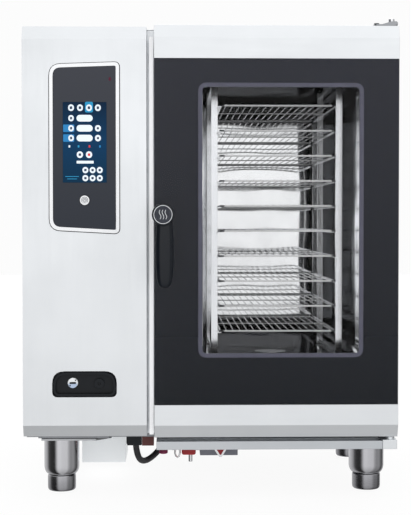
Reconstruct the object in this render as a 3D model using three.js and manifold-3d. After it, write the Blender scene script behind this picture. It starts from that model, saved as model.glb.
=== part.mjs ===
// Ten-shelf combi steamer oven with a right-hinged glass door and a control column on the left.
// Millimetres, +Z up. The front faces -Y. Shapes are drawn with X from the body's middle, Y from the
// door's outer face and Z from the floor, and the finished group is centred over its own footprint.
import * as THREE from "three";
import { mergeVertices } from "three/addons/utils/BufferGeometryUtils.js";
import Module from "manifold-3d";

const wasm = await Module();
wasm.setup();

// ---- Driving dimensions -------------------------------------------------------------------------
const WIDTH = 1000;
const HALF = WIDTH / 2;
const GAP = 0.3; // play between pieces that rest on each other
const SHEET = 2; // stainless sheet
const REAR_Y = 790; // outer face of the rear panel
const BODY_TOP = 1252;
const BODY_BOTTOM = 163;

const COLUMN = { left: -HALF, right: -171.5, front: 8, bendLow: 193.5, bendHigh: 1217, bendBack: 13 };
const DOOR = { left: -151.5, right: 499.6, bottom: 160, top: 1256, depth: 58, bendLow: 193.5, bendHigh: 1222 };
const BAND = { low: 248, high: 1167 }; // the outer glass lies between the two stainless bands
const STRIP = { left: -164.5, right: -153 }; // bright strip that fills the gap between column and door
const WINDOW = { left: -23.5, right: 394.5, low: 385, high: 1092.5, rim: 11, radius: 10 };
const FRAME_Y = 70; // front face of the cabinet's frame, behind the closed door
const FRAME_THICK = 3;
const CHAMBER = { left: -105, right: 425, low: 350, high: 1150, front: 73.3, back: 700, radius: 30 };
const DRAIN = { x: 189, y: 400, radius: 40 };

const SHELF = { x: 189, width: 325, depth: 530, front: 140, count: 10, low: 437, pitch: 69.2, thick: 6.5 };
const UPRIGHT = { gap: 331, width: 18, low: 352, high: 1140, front: 185, rear: 635, depth: 14 };

const HINGE = { x: 482, y: 30, pin: 7.5 };
const HANDLE = { x: -127.5, z: 754, knob: 29, gripShift: 4, bottom: 562, front: -65, spindle: 4.5 };
const FOOT = { sleeve: 48, foot: 38.5, step: 47, taper: 65 };
const RAIL = { top: 148, thick: 5 };
const FEET_PLACES = {
  front_left: [-407, 120],
  front_right: [432, 120],
  rear_left: [-440, 605],
  rear_right: [450, 605],
};

const VENT = { x: -20, y: 560, bore: 19, top: 1268 };
const FAN = { y: 390, z: 750, radius: 150 };
const DISPLAY = { x: -334.5, z: 945, width: 115, height: 212 };
const BUTTON = { x: -335, z: 792, radius: 13.5 };
const PORT = { usb: [-368, 307], probe: [-298, 305], radius: 13.5 };
// The drain hose's middle line, from the connector block down and back up to the valves.
const HOSE = {
  radius: 8.5,
  steps: 30,
  route: [
    [-204, 117, 125.8], [-202.5, 122.6, 110.3], [-200.5, 129.9, 97.4], [-197.9, 138.9, 86.9],
    [-194.8, 149.2, 78.6], [-191, 160.8, 72.3], [-186.7, 173.5, 67.9], [-181.7, 187, 65.2],
    [-176.1, 201.2, 64.1], [-170, 215.9, 64.5], [-163.5, 230.7, 66.3], [-156.6, 245.5, 69.4],
    [-149.5, 260, 73.8], [-142.3, 273.9, 79.5], [-135.2, 287, 86.4], [-128.4, 299, 94.4],
    [-122.1, 309.5, 103.7], [-116.6, 318.3, 114.2], [-112, 325, 126],
  ],
};

// ---- Materials ----------------------------------------------------------------------------------
const finish = (color, roughness, metalness) => ({ color, roughness, metalness });
const STAINLESS = finish(0xdfe3e7, 0.38, 0.9);
const BRIGHT_STEEL = finish(0xc9cdd1, 0.2, 1);
const DARK_STEEL = finish(0x5c6068, 0.5, 0.8);
const BLACK_PLASTIC = finish(0x26292c, 0.45, 0);
const BLACK_GLASS = finish(0x38393f, 0.1, 0);
const CLEAR_GLASS = finish(0xdfe8ea, 0.05, 0);
const RUBBER = finish(0x1d1f21, 0.8, 0);
const SILICONE = finish(0x4b2320, 0.6, 0);
const PALE_PAINT = finish(0xe8ebee, 0.5, 0.1);
const VALVE_RED = finish(0xb02a2c, 0.5, 0);

const oven = new THREE.Group();

function add(name, geometry, look) {
  const mesh = new THREE.Mesh(geometry, new THREE.MeshStandardMaterial(look));
  mesh.name = name;
  oven.add(mesh);
  return mesh;
}

// ---- Solid helpers ------------------------------------------------------------------------------
function toManifold(geometry) {
  const bare = geometry.clone();
  bare.deleteAttribute("normal");
  bare.deleteAttribute("uv");
  const merged = mergeVertices(bare, 1e-4);
  return new wasm.Manifold(new wasm.Mesh({
    numProp: 3,
    vertProperties: Float32Array.from(merged.attributes.position.array),
    triVerts: Uint32Array.from(merged.index.array),
  }));
}

function toGeometry(manifold) {
  const mesh = manifold.getMesh();
  const geometry = new THREE.BufferGeometry();
  geometry.setAttribute("position", new THREE.BufferAttribute(Float32Array.from(mesh.vertProperties), 3));
  geometry.setIndex(new THREE.BufferAttribute(Uint32Array.from(mesh.triVerts), 1));
  geometry.computeVertexNormals();
  return geometry;
}

function join(...geometries) {
  return toGeometry(geometries.map(toManifold).reduce((whole, next) => whole.add(next)));
}

function cut(geometry, ...tools) {
  return toGeometry(tools.map(toManifold).reduce((rest, tool) => rest.subtract(tool), toManifold(geometry)));
}

// A block between two corners.
function block(x0, x1, y0, y1, z0, z1) {
  const geometry = new THREE.BoxGeometry(x1 - x0, y1 - y0, z1 - z0);
  return geometry.translate((x0 + x1) / 2, (y0 + y1) / 2, (z0 + z1) / 2);
}

// A sheet box with its lid left off.
function openTopBox(x0, x1, y0, y1, z0, z1, wall) {
  return cut(
    block(x0, x1, y0, y1, z0, z1),
    block(x0 + wall, x1 - wall, y0 + wall, y1 - wall, z0 + wall, z1 + 5),
  );
}

// A round-cornered rectangle in the plane of a shape.
function roundedShape(left, right, low, high, radius) {
  const shape = new THREE.Shape();
  shape.moveTo(left + radius, low);
  shape.lineTo(right - radius, low);
  shape.absarc(right - radius, low + radius, radius, -Math.PI / 2, 0, false);
  shape.lineTo(right, high - radius);
  shape.absarc(right - radius, high - radius, radius, 0, Math.PI / 2, false);
  shape.lineTo(left + radius, high);
  shape.absarc(left + radius, high - radius, radius, Math.PI / 2, Math.PI, false);
  shape.lineTo(left, low + radius);
  shape.absarc(left + radius, low + radius, radius, Math.PI, Math.PI * 1.5, false);
  return shape;
}

// A shape drawn in X and Z, thickened from y0 back to y1.
function frontPlate(shape, y0, y1, curveSegments = 5, bevel = 0) {
  const geometry = new THREE.ExtrudeGeometry(shape, {
    depth: y1 - y0 - 2 * bevel,
    curveSegments,
    bevelEnabled: bevel > 0,
    bevelThickness: bevel,
    bevelSize: bevel,
    bevelOffset: -bevel,
    bevelSegments: 2,
  });
  return geometry.rotateX(Math.PI / 2).translate(0, y1 - bevel, 0);
}

// A shape drawn in Y and Z, thickened from x0 to x1.
function sidePlate(shape, x0, x1) {
  const geometry = new THREE.ExtrudeGeometry(shape, { depth: x1 - x0, bevelEnabled: false });
  return geometry.applyMatrix4(new THREE.Matrix4().set(0, 0, 1, x0, 1, 0, 0, 0, 0, 1, 0, 0, 0, 0, 0, 1));
}

// A shape drawn in X and Y, thickened from z0 up to z1.
function floorPlate(shape, z0, z1, curveSegments = 6) {
  const geometry = new THREE.ExtrudeGeometry(shape, { depth: z1 - z0, bevelEnabled: false, curveSegments });
  return geometry.translate(0, 0, z0);
}

function polygon(points) {
  return new THREE.Shape(points.map(([u, v]) => new THREE.Vector2(u, v)));
}

// A turned piece about a vertical axis; the profile is a list of [radius, height].
function turned(profile, segments = 24) {
  return new THREE.LatheGeometry(profile.map(([r, h]) => new THREE.Vector2(r, h)), segments);
}

// A turned piece about Z, standing at (x, y).
function turnedUp(profile, x, y, segments = 24) {
  return turned(profile, segments).rotateX(Math.PI / 2).translate(x, y, 0);
}

// A turned piece about Y at (x, z); heights in the profile are depths along +Y.
function turnedBack(profile, x, z, segments = 24) {
  return turned(profile, segments).translate(x, 0, z);
}

function disc(radius, y0, y1, x, z, segments = 24) {
  return turnedBack([[0, y0], [radius, y0], [radius, y1], [0, y1]], x, z, segments);
}

function post(radius, z0, z1, x, y, segments = 24) {
  return turnedUp([[0, z0], [radius, z0], [radius, z1], [0, z1]], x, y, segments);
}

// A round bar or tube along hand-chosen points.
function tube(points, radius, sides, steps) {
  const section = new THREE.Shape();
  section.absarc(0, 0, radius, 0, Math.PI * 2, false);
  const path = new THREE.CatmullRomCurve3(points.map((p) => new THREE.Vector3(...p)));
  return new THREE.ExtrudeGeometry(section, { steps, curveSegments: sides, extrudePath: path, bevelEnabled: false });
}

// ---- Cabinet ------------------------------------------------------------------------------------
const PANEL_FRONT = COLUMN.front + COLUMN.bendBack + GAP;
const PANEL_LOW = BODY_BOTTOM + SHEET + GAP;

function vents(x0, x1, y0, y1, zs) {
  return zs.map((z) => block(x0, x1, y0, y1, z, z + 8));
}

function cabinetPanels() {
  const ventRows = Array.from({ length: 6 }, (_, i) => 260 + 22 * i);
  const left = cut(
    block(-HALF, -HALF + SHEET, PANEL_FRONT + 4, REAR_Y - SHEET - GAP, PANEL_LOW, BODY_TOP - SHEET - GAP),
    ...vents(-HALF - 1, -HALF + SHEET + 1, 560, 720, ventRows),
  );
  add("left_panel", left, STAINLESS);
  const right = block(HALF - SHEET, HALF, FRAME_Y + GAP, REAR_Y - SHEET - GAP, BODY_BOTTOM, BODY_TOP - SHEET - GAP);
  add("right_panel", right, STAINLESS);
  const top = cut(
    join(
      block(-HALF, HALF, FRAME_Y + GAP, REAR_Y, BODY_TOP - SHEET, BODY_TOP),
      block(-HALF, COLUMN.right, PANEL_FRONT + 4, FRAME_Y + 20, BODY_TOP - SHEET, BODY_TOP),
    ),
    post(31, BODY_TOP - 10, BODY_TOP + 10, VENT.x, VENT.y, 20),
  );
  add("top_panel", top, STAINLESS);
  const rearSlots = Array.from({ length: 8 }, (_, i) => 700 + 24 * i);
  const rear = cut(
    block(-HALF, HALF, REAR_Y - SHEET, REAR_Y, BODY_BOTTOM, BODY_TOP - SHEET - GAP),
    ...vents(-440, -220, REAR_Y - 5, REAR_Y + 5, rearSlots),
  );
  const inlets = [[-430, 240, 13], [-380, 240, 13], [-330, 240, 16], [-250, 230, 25]];
  const stubs = inlets.map(([x, z, r]) => disc(r, REAR_Y - 1, REAR_Y + 16, x, z, 16));
  add("rear_panel", join(rear, ...stubs), STAINLESS);
}

// The column's front sheet is bent back at its top and bottom and turned in along the door's side.
function columnFront() {
  const { front, bendBack, bendLow, bendHigh, left, right } = COLUMN;
  const back = front + bendBack;
  const outer = [[front, bendLow], [front, bendHigh], [back, BODY_TOP], [back + 4, BODY_TOP],
    [back + 4, BODY_TOP - SHEET], [back + 1, BODY_TOP - SHEET], [front + SHEET, bendHigh - 1],
    [front + SHEET, bendLow + 1], [back + 1, BODY_BOTTOM + SHEET], [FRAME_Y - 4, BODY_BOTTOM + SHEET],
    [FRAME_Y - 4, BODY_BOTTOM], [back, BODY_BOTTOM]];
  const returnSide = polygon([[front, bendLow], [front, bendHigh], [back, BODY_TOP], [back + 4, BODY_TOP],
    [back + 4, BODY_TOP - 4], [FRAME_Y - 1, BODY_TOP - 4], [FRAME_Y - 1, BODY_BOTTOM], [back, BODY_BOTTOM]]);
  const leftSide = polygon([[front, bendLow], [front, bendHigh], [back, BODY_TOP], [back + 4, BODY_TOP],
    [back + 4, BODY_BOTTOM], [back, BODY_BOTTOM]]);
  const sheet = join(
    sidePlate(polygon(outer), left, right),
    sidePlate(returnSide, right - SHEET, right),
    sidePlate(leftSide, left, left + SHEET),
  );
  add("column_front", cut(
    sheet,
    frontPlate(bezelShape(-2), front - 5, front + 6),
    frontPlate(portShape(-3), front - 5, front + 6),
  ), STAINLESS);
}

// The frame around the chamber's mouth, with the bright strip that closes the gap beside the door
// and the slot that takes the latch tongue.
function frontFrame() {
  const plate = block(
    COLUMN.right + GAP, HALF - SHEET - GAP, FRAME_Y, FRAME_Y + FRAME_THICK, BODY_BOTTOM, BODY_TOP - SHEET - 1,
  );
  const mouth = frontPlate(
    roundedShape(CHAMBER.left, CHAMBER.right, CHAMBER.low, CHAMBER.high, CHAMBER.radius),
    FRAME_Y - 5, FRAME_Y + 10,
  );
  const latchSlot = block(HANDLE.x - 9, HANDLE.x + 9, FRAME_Y - 5, FRAME_Y + 10, HANDLE.z - 34, HANDLE.z + 12);
  const strip = join(
    block(STRIP.left, STRIP.right, 14, 14 + SHEET, 168, 1225),
    block(STRIP.left, STRIP.left + SHEET, 15, FRAME_Y + 1, 168, 1225),
  );
  add("front_frame", join(cut(plate, mouth, latchSlot), strip), STAINLESS);
}

function baseFrame() {
  const pan = cut(
    block(-HALF + SHEET + GAP, HALF - SHEET - GAP, FRAME_Y + FRAME_THICK + GAP, REAR_Y - SHEET - GAP, 152, 172),
    block(-HALF + 6, HALF - 6, FRAME_Y + FRAME_THICK + 4, REAR_Y - 6, 154, 180),
    block(-240, -152, 90, 230, 140, 160),
  );
  const beams = [-455, 450].map((x) => block(x - 12, x + 12, 76, REAR_Y - 5, RAIL.top + GAP, 153));
  const apronFront = FRAME_Y + FRAME_THICK + GAP;
  const apron = join(
    block(-146, 368, apronFront, apronFront + SHEET, 130, 153),
    block(360, 482, apronFront, apronFront + SHEET, RAIL.top + GAP, 153),
    block(-457, -275, apronFront, apronFront + SHEET, RAIL.top + GAP, 153),
  );
  add("base_frame", join(pan, ...beams, apron), DARK_STEEL);
}

function sleeve(x, y) {
  return turnedUp([
    [FOOT.foot + 1.5, FOOT.step + 0.5], [FOOT.sleeve - 6, FOOT.step + 0.5], [FOOT.sleeve - 1.5, FOOT.step + 9],
    [FOOT.sleeve, FOOT.taper], [FOOT.sleeve, RAIL.top - 2], [0, RAIL.top - 2], [0, 118],
    [FOOT.foot + 1.5, 118], [FOOT.foot + 1.5, FOOT.step + 0.5],
  ], x, y, 24);
}

function footRails() {
  const rail = (x0, x1, slant) => floorPlate(polygon([
    [x0, 68], [x1 - slant, 68], [x1, 110], [x1, 690], [x0, 690],
  ]), RAIL.top - RAIL.thick, RAIL.top);
  const { front_left: fl, front_right: fr, rear_left: rl, rear_right: rr } = FEET_PLACES;
  add("foot_rail_left", join(rail(-458, -270, 40), sleeve(...fl), sleeve(...rl)), BRIGHT_STEEL);
  add("foot_rail_right", join(rail(372, 497, 0), sleeve(...fr), sleeve(...rr)), BRIGHT_STEEL);
}

function feet() {
  for (const [place, [x, y]] of Object.entries(FEET_PLACES)) {
    const r = FOOT.foot;
    add(`foot_${place}`, turnedUp([
      [0, 0], [r - 4, 0], [r, 4], [r, FOOT.step - 3], [r - 3, FOOT.step], [r - 3, 112], [r - 9, 112],
      [r - 9, 8], [0, 8],
    ], x, y, 24), BRIGHT_STEEL);
  }
}

// ---- Chamber ------------------------------------------------------------------------------------
function chamberBox(grow, front, back) {
  const { left, right, low, high, radius } = CHAMBER;
  const shape = roundedShape(left - grow, right + grow, low - grow, high + grow, radius + grow);
  return frontPlate(shape, front, back, 4);
}

function chamber() {
  const { front, back } = CHAMBER;
  const wall = 1.5;
  add("oven_chamber", cut(
    chamberBox(wall, front, back + wall),
    chamberBox(0, front - 5, back),
    post(DRAIN.radius, CHAMBER.low - 20, CHAMBER.low + 20, DRAIN.x, DRAIN.y, 24),
    disc(16, -20, 20, 0, 0, 16).rotateZ(Math.PI / 2).translate(CHAMBER.left, FAN.y, FAN.z),
    post(24, CHAMBER.high - 20, CHAMBER.high + 20, VENT.x, VENT.y, 20),
  ), BRIGHT_STEEL);
}

// The baffle screens the fan: a plate with an intake of slots and folded front and rear edges.
function airBaffle() {
  const x = -22;
  const plate = join(
    block(x, x + SHEET, 100, 672, 372, 1128),
    block(x - 60, x + SHEET, 100, 100 + SHEET, 372, 1128),
    block(x - 60, x + SHEET, 672 - SHEET, 672, 372, 1128),
  );
  const slots = Array.from({ length: 9 }, (_, i) => {
    const offset = (i - 4) * 24;
    const reach = Math.sqrt(125 ** 2 - offset ** 2);
    return block(x - 5, x + 5, FAN.y - reach, FAN.y + reach, FAN.z + offset - 7, FAN.z + offset + 7);
  });
  add("air_baffle", cut(plate, ...slots), BRIGHT_STEEL);
}

function fan() {
  const motor = join(
    disc(58, -96, 0, 0, 0, 24).rotateZ(-Math.PI / 2).translate(CHAMBER.left - 44, FAN.y, FAN.z),
    disc(9, -2, 66, 0, 0, 16).rotateZ(-Math.PI / 2).translate(CHAMBER.left - 44, FAN.y, FAN.z),
  );
  add("fan_motor", motor, DARK_STEEL);
  const hubX = CHAMBER.left + 24;
  const discBack = disc(FAN.radius, 0, 3, 0, 0, 24).rotateZ(-Math.PI / 2).translate(hubX, FAN.y, FAN.z);
  const rim = cut(
    disc(FAN.radius, 34, 37, 0, 0, 24).rotateZ(-Math.PI / 2).translate(hubX, FAN.y, FAN.z),
    disc(118, 30, 40, 0, 0, 24).rotateZ(-Math.PI / 2).translate(hubX, FAN.y, FAN.z),
  );
  const blades = Array.from({ length: 10 }, (_, i) => {
    const blade = new THREE.BoxGeometry(36, 3, 34).translate(18, 0, 130).rotateX((i * Math.PI) / 5);
    return blade.translate(hubX + 1, FAN.y, FAN.z);
  });
  add("fan_wheel", join(discBack, rim, ...blades), BRIGHT_STEEL);
}

// Two turns of sheathed element around the fan wheel.
function heatingElement() {
  const ring = (x) => new THREE.TorusGeometry(172, 5, 6, 20).rotateY(Math.PI / 2).translate(x, FAN.y, FAN.z);
  const x0 = CHAMBER.left + 34;
  const link = block(x0, x0 + 16, FAN.y - 4, FAN.y + 4, FAN.z - 175, FAN.z - 169);
  add("heating_element", join(ring(x0), ring(x0 + 16), link), DARK_STEEL);
}

function racks() {
  const half = UPRIGHT.gap / 2;
  for (const [name, side] of [["rack_left", -1], ["rack_right", 1]]) {
    const inner = SHELF.x + side * half;
    const outer = inner + side * UPRIGHT.width;
    const [x0, x1] = [Math.min(inner, outer), Math.max(inner, outer)];
    const bars = [UPRIGHT.front, UPRIGHT.rear].map((y) =>
      block(x0, x1, y, y + UPRIGHT.depth, UPRIGHT.low, UPRIGHT.high));
    const ties = [UPRIGHT.low + 8, UPRIGHT.high - 16].map((z) =>
      block(x0 + 3, x1 - 3, UPRIGHT.front + 2, UPRIGHT.rear + UPRIGHT.depth - 2, z, z + 10));
    const tip = inner - side * 9;
    const rails = Array.from({ length: SHELF.count }, (_, i) => {
      const z = SHELF.low + SHELF.pitch * i - SHELF.thick - GAP;
      const ends = [Math.min(tip, inner + side * 2), Math.max(tip, inner + side * 2)];
      return block(...ends, SHELF.front - 4, UPRIGHT.rear + UPRIGHT.depth - 1, z - 2, z);
    });
    add(name, join(...bars, ...ties, ...rails), BRIGHT_STEEL);
  }
}

// A gastronorm grid: a rim, one crossbar and lengthwise wires.
function wireShelf(index) {
  const z = SHELF.low + SHELF.pitch * index;
  const [x0, x1] = [SHELF.x - SHELF.width / 2, SHELF.x + SHELF.width / 2];
  const [y0, y1] = [SHELF.front, SHELF.front + SHELF.depth];
  const wire = 6;
  const rim = cut(
    block(x0, x1, y0, y1, z - SHELF.thick, z),
    block(x0 + wire, x1 - wire, y0 + wire, y1 - wire, z - 10, z + 10),
  );
  const crossbar = block(x0 + 3, x1 - 3, (y0 + y1) / 2 - 3, (y0 + y1) / 2 + 3, z - SHELF.thick, z - 1);
  const wires = 6;
  const spacing = SHELF.width / (wires + 1);
  const bars = Array.from({ length: wires }, (_, i) => {
    const x = x0 + spacing * (i + 1);
    return block(x - 1.5, x + 1.5, y0 + 3, y1 - 3, z - 3.5, z - 0.5);
  });
  const name = `wire_shelf_${String(index + 1).padStart(2, "0")}`;
  add(name, join(rim, crossbar, ...bars), BRIGHT_STEEL);
}

function drain() {
  const strainer = cut(
    join(
      post(DRAIN.radius + 8, CHAMBER.low + GAP, CHAMBER.low + 2.3, DRAIN.x, DRAIN.y, 24),
      post(DRAIN.radius - 3, CHAMBER.low - 6, CHAMBER.low + 1, DRAIN.x, DRAIN.y, 20),
    ),
    ...Array.from({ length: 8 }, (_, i) => {
      const angle = (i * Math.PI) / 4;
      const [x, y] = [DRAIN.x + 22 * Math.cos(angle), DRAIN.y + 22 * Math.sin(angle)];
      return post(5, CHAMBER.low - 20, CHAMBER.low + 20, x, y, 6);
    }),
  );
  add("drain_strainer", strainer, BRIGHT_STEEL);
  const box = cut(
    join(
      block(-60, 230, 330, 470, 190, 290),
      post(DRAIN.radius - 1, 280, CHAMBER.low - 8, DRAIN.x, DRAIN.y, 20),
      block(-205, -55, 380, 430, 205, 250),
    ),
    post(DRAIN.radius - 4, 280, CHAMBER.low + 10, DRAIN.x, DRAIN.y, 20),
    block(-58, 228, 332, 468, 192, 288),
    block(-210, -50, 382, 428, 207, 248),
  );
  add("drain_box", box, BRIGHT_STEEL);
}

// ---- Door ---------------------------------------------------------------------------------------
function windowShape(grow) {
  const { left, right, low, high, radius } = WINDOW;
  return roundedShape(left - grow, right + grow, low - grow, high + grow, radius + Math.max(0, grow));
}

// The door's pressed pan: stainless bands above and below a recess for the outer glass, and a blind
// bush inside the top and the bottom for the hinge pins.
function doorFrame() {
  const { left, right, bottom, top, depth, bendLow, bendHigh } = DOOR;
  const back = depth - SHEET - GAP;
  const recess = 8;
  const outline = polygon([[0, bendLow], [0, BAND.low], [recess, BAND.low], [recess, BAND.high], [0, BAND.high],
    [0, bendHigh], [12, top], [back, top], [back, bottom], [12, bottom]]);
  const hollow = polygon([[SHEET + 1, bendLow + 2], [SHEET + 1, BAND.low - 2], [recess + SHEET, BAND.low - 2],
    [recess + SHEET, BAND.high + 2], [SHEET + 1, BAND.high + 2], [SHEET + 1, bendHigh - 2],
    [14, top - 2.5], [back + 20, top - 2.5], [back + 20, bottom + 2.5], [14, bottom + 2.5]]);
  const pan = cut(
    sidePlate(outline, left, right),
    sidePlate(hollow, left + SHEET, right - SHEET),
    frontPlate(windowShape(WINDOW.rim + 14), -5, 30),
    disc(HANDLE.spindle + 1, -5, 30, HANDLE.x, HANDLE.z, 16),
  );
  const upright = (radius, z0, z1) => post(radius, z0, z1, HINGE.x, HINGE.y, 20);
  const bushes = [upright(HINGE.pin + 5, top - 12, top - 1), upright(HINGE.pin + 5, bottom + 1, bottom + 12)];
  const pinHoles = [upright(HINGE.pin + 1, top - 9, top + 10), upright(HINGE.pin + 1, bottom - 10, bottom + 9)];
  add("door_frame", cut(join(pan, ...bushes), ...pinHoles), STAINLESS);
  add("door_liner", cut(
    block(left, right, back + GAP, depth, bottom, top),
    frontPlate(windowShape(WINDOW.rim + 14), back - 5, depth + 5),
    disc(HANDLE.spindle + 1, back - 5, depth + 5, HANDLE.x, HANDLE.z, 16),
  ), STAINLESS);
}

function doorGlass() {
  const { left, right } = DOOR;
  const [x0, x1, z0, z1] = [left + 0.5, right - 0.5, BAND.low + GAP, BAND.high - GAP];
  const spindleHole = (y0, y1) => disc(HANDLE.spindle + 1, y0, y1, HANDLE.x, HANDLE.z, 16);
  add("door_outer_glass", cut(
    block(x0, x1, 0.6, 5.2, z0, z1),
    spindleHole(-5, 10),
  ), CLEAR_GLASS);
  add("door_glass_print", cut(
    block(x0, x1, 5.5, 7.7, z0, z1),
    frontPlate(windowShape(WINDOW.rim + GAP), -5, 20),
    spindleHole(-5, 20),
  ), BLACK_GLASS);
  const rimShape = windowShape(WINDOW.rim);
  rimShape.holes.push(windowShape(0));
  add("window_rim", frontPlate(rimShape, 5.5, 12), finish(0x5f5f78, 0.5, 0.2));
  add("door_inner_glass", frontPlate(
    roundedShape(WINDOW.left - 45, WINDOW.right + 45, WINDOW.low - 45, WINDOW.high + 45, 14),
    DOOR.depth + GAP, DOOR.depth + 5,
  ), CLEAR_GLASS);
}

function doorGasket() {
  const { left, right, low, high } = CHAMBER;
  const ring = roundedShape(left - 12, right + 12, low - 12, high + 12, 34);
  ring.holes.push(roundedShape(left + 1, right - 1, low + 1, high - 1, 28));
  add("door_gasket", frontPlate(ring, DOOR.depth + 5.5, FRAME_Y - GAP, 5), RUBBER);
}

// The turn handle: a round boss with a flat-fronted grip hanging from it, clear of the glass.
function doorHandle() {
  const { x, z, knob, bottom, front } = HANDLE;
  const boss = turnedBack([
    [0, front + 2], [knob - 2.5, front + 2], [knob, front + 5], [knob, front + 26], [knob - 6, front + 34],
    [17, front + 40], [17, -0.5], [0, -0.5],
  ], x, z, 40);
  const stem = disc(HANDLE.spindle, -2, DOOR.depth - 2, x, z, 16);
  const gripX = x + HANDLE.gripShift;
  const grip = new THREE.Shape();
  grip.moveTo(gripX - 24, z - 12);
  grip.lineTo(gripX - 24, z - 110);
  grip.lineTo(gripX - 20, bottom + 18);
  grip.quadraticCurveTo(gripX - 18, bottom, gripX, bottom);
  grip.quadraticCurveTo(gripX + 18, bottom, gripX + 20, bottom + 18);
  grip.lineTo(gripX + 24, z - 110);
  grip.lineTo(gripX + 24, z - 12);
  add("door_handle", join(boss, stem, frontPlate(grip, front + 6, front + 30, 6, 5)), BLACK_PLASTIC);
  add("handle_emblem", turnedBack([
    [0, front], [25.5, front], [25.5, front + 1.7], [0, front + 1.7],
  ], x, z, 36), finish(0xc8cacc, 0.35, 0.3));
  add("latch_cam", join(
    disc(HANDLE.spindle, DOOR.depth - 1.7, FRAME_Y + 8, x, z, 16),
    block(x - 6, x + 6, FRAME_Y + FRAME_THICK + 1, FRAME_Y + 10, z - 30, z),
  ), BRIGHT_STEEL);
}

function hinges() {
  const { x, y, pin } = HINGE;
  const topPlate = roundedShape(434, 497, 12, 150, 8);
  const raised = DOOR.top + GAP;
  const arm = raised + 12;
  add("upper_hinge", cut(
    join(
      floorPlate(topPlate, raised, raised + 4),
      frontPlate(polygon([[450, raised + 3], [478, arm - 1], [486, arm], [494, arm], [497, arm - 4], [497, raised + 3]]), 14, 62),
      block(440, 490, 90, 145, BODY_TOP + GAP, raised + 1),
    ),
    post(pin + 0.5, raised - 5, arm + 5, x, y, 20),
  ), STAINLESS);
  add("upper_hinge_pin", turnedUp([
    [0, DOOR.top - 8], [pin, DOOR.top - 8], [pin, arm + GAP], [pin + 1, arm + GAP],
    [pin + 1, arm + 7], [pin - 1, arm + 9], [0, arm + 9],
  ], x, y, 20), BRIGHT_STEEL);
  add("lower_hinge", join(
    block(459, 498, 6, 66, 127, 152),
    block(484, 498, 60, 120, 127, RAIL.top - RAIL.thick - GAP),
    post(pin, 150, DOOR.bottom + 8, x, y, 20),
    post(pin + 5, 150, DOOR.bottom - 1, x, y, 20),
  ), DARK_STEEL);
}

// The drip channel under the door, open upwards to catch water from the glass.
function dripTray() {
  add("drip_tray", cut(
    block(-146, 458.5, 4, 60, 128, 150),
    block(-143, 455.5, 7, 57, 131, 160),
  ), STAINLESS);
}

// ---- Controls -----------------------------------------------------------------------------------
// The control bezel's outline flares slightly towards the door. inset shrinks it evenly.
function bezelShape(inset) {
  const [left, right] = [-428 + inset, -243 - inset];
  const [leftLow, leftHigh, rightLow, rightHigh] = [712 + inset, 1151.5 - inset, 704.5 + inset, 1156.5 - inset];
  const [big, small] = [Math.max(32 - inset, 6), Math.max(14 - inset, 3)];
  const shape = new THREE.Shape();
  shape.moveTo(left + big, leftLow);
  shape.lineTo(right - small, rightLow);
  shape.quadraticCurveTo(right, rightLow, right, rightLow + small);
  shape.lineTo(right, rightHigh - small);
  shape.quadraticCurveTo(right, rightHigh, right - small, rightHigh);
  shape.lineTo(left + big, leftHigh);
  shape.quadraticCurveTo(left, leftHigh, left, leftHigh - big);
  shape.lineTo(left, leftLow + big);
  shape.quadraticCurveTo(left, leftLow, left + big, leftLow);
  return shape;
}

function controls() {
  const face = COLUMN.front;
  const ringWidth = 9.5;
  const ring = bezelShape(0);
  ring.holes.push(bezelShape(ringWidth));
  add("control_bezel", frontPlate(ring, face - 4, face - GAP, 6), BRIGHT_STEEL);
  const { x, z, width, height } = DISPLAY;
  const screen = (play) => [x - width / 2 - play, x + width / 2 + play, z - height / 2 - play, z + height / 2 + play];
  const [x0, x1, z0, z1] = screen(GAP);
  add("control_glass", cut(
    frontPlate(bezelShape(ringWidth + GAP), face - 2.5, face + 2, 6),
    block(x0, x1, face - 9, face + 9, z0, z1),
    disc(BUTTON.radius + 1, face - 9, face + 9, BUTTON.x, BUTTON.z, 32),
  ), BLACK_GLASS);
  const [sx0, sx1, sz0, sz1] = screen(0);
  add("display_screen", block(sx0, sx1, face - 2.4, face + 2, sz0, sz1), finish(0x002d5a, 0.15, 0));
  add("push_button", turnedBack([
    [0, face - 4], [8, face - 4], [9, face - 5.5], [12.5, face - 5.5], [BUTTON.radius, face - 4],
    [BUTTON.radius, face + 10], [0, face + 10],
  ], BUTTON.x, BUTTON.z, 32), BRIGHT_STEEL);
}

function portShape(inset) {
  const [left, right, low, high] = [-419.5 + inset, -254 - inset, 272 + inset, 335.5 - inset];
  const [topR, lowR] = [36 - Math.abs(inset), 18 - Math.abs(inset)];
  const shape = new THREE.Shape();
  shape.moveTo(left + lowR, low);
  shape.lineTo(right - lowR, low);
  shape.quadraticCurveTo(right, low, right, low + lowR);
  shape.lineTo(right, high - topR);
  shape.quadraticCurveTo(right, high, right - topR, high);
  shape.lineTo(left + topR, high);
  shape.quadraticCurveTo(left, high, left, high - topR);
  shape.lineTo(left, low + lowR);
  shape.quadraticCurveTo(left, low, left + lowR, low);
  return shape;
}

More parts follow.
